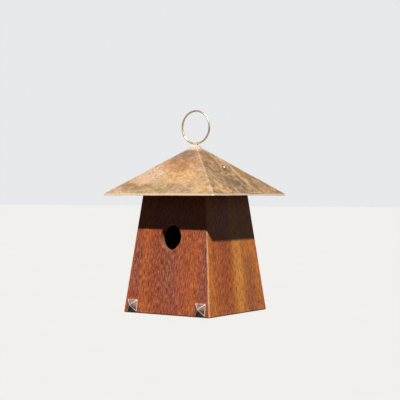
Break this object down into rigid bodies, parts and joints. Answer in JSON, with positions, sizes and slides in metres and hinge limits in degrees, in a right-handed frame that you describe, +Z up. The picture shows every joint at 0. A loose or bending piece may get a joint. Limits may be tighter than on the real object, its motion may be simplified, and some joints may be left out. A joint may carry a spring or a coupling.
{
  "type": "birdhouse",
  "caption": "Tapered wooden birdhouse with a round entrance, a four-sided copper roof, a hanging ring and a floor that drops open for cleaning.",
  "frame": {"origin": "on the ground under the middle of the house, at the walls' bottom edges", "axes": "+Z up, -Y towards the front, where the entrance is, +X to the right as seen from the front"},
  "size_m": [0.204, 0.204, 0.312],
  "materials": {
    "mahogany": "oiled, satin",
    "weathered_copper": "heat-tinted copper sheet, satin",
    "brass": "pale, satin",
    "solder": "soft solder, dull",
    "aged_bronze": "dark patina, rubbed edges",
    "nail_steel": "bright wire, dulled"
  },
  "bodies": {
    "house": {"front_panel": "mahogany", "back_panel": "mahogany", "left_panel": "mahogany", "right_panel": "mahogany", "copper_roof": "weathered_copper", "roof_screw_left": "brass", "roof_screw_right": "brass", "ring_strap": "brass", "backing_plate": "brass", "apex_solder": "solder", "clavo_left": "aged_bronze", "clavo_right": "aged_bronze", "pivot_nail_left": "nail_steel", "pivot_nail_right": "nail_steel", "front_brad_left_1": "nail_steel", "front_brad_left_2": "nail_steel", "front_brad_left_3": "nail_steel", "front_brad_right_1": "nail_steel", "front_brad_right_2": "nail_steel", "front_brad_right_3": "nail_steel", "back_brad_left_1": "nail_steel", "back_brad_left_2": "nail_steel", "back_brad_left_3": "nail_steel", "back_brad_right_1": "nail_steel", "back_brad_right_2": "nail_steel", "back_brad_right_3": "nail_steel"},
    "floor": {"floor_panel": "mahogany", "button_screw": "brass"},
    "button": {"turn_button": "brass"},
    "ring": {"hanging_ring": "brass"}
  },
  "joints": [
    {"name": "ring_swing", "type": "hinge", "parent": "house", "child": "ring", "pos_m": [0, 0, 0.2596], "axis": [1, 0, 0], "range_deg": [-120, 120]},
    {"name": "floor_swing", "type": "hinge", "parent": "house", "child": "floor", "pos_m": [0, 0.05893, 0.01535], "axis": [1, 0, 0], "range_deg": [0, 90]},
    {"name": "button_swing", "type": "hinge", "parent": "floor", "child": "button", "pos_m": [0, -0.05359, 0.0079], "axis": [0, 0, 1], "range_deg": [0, 90]}
  ]
}
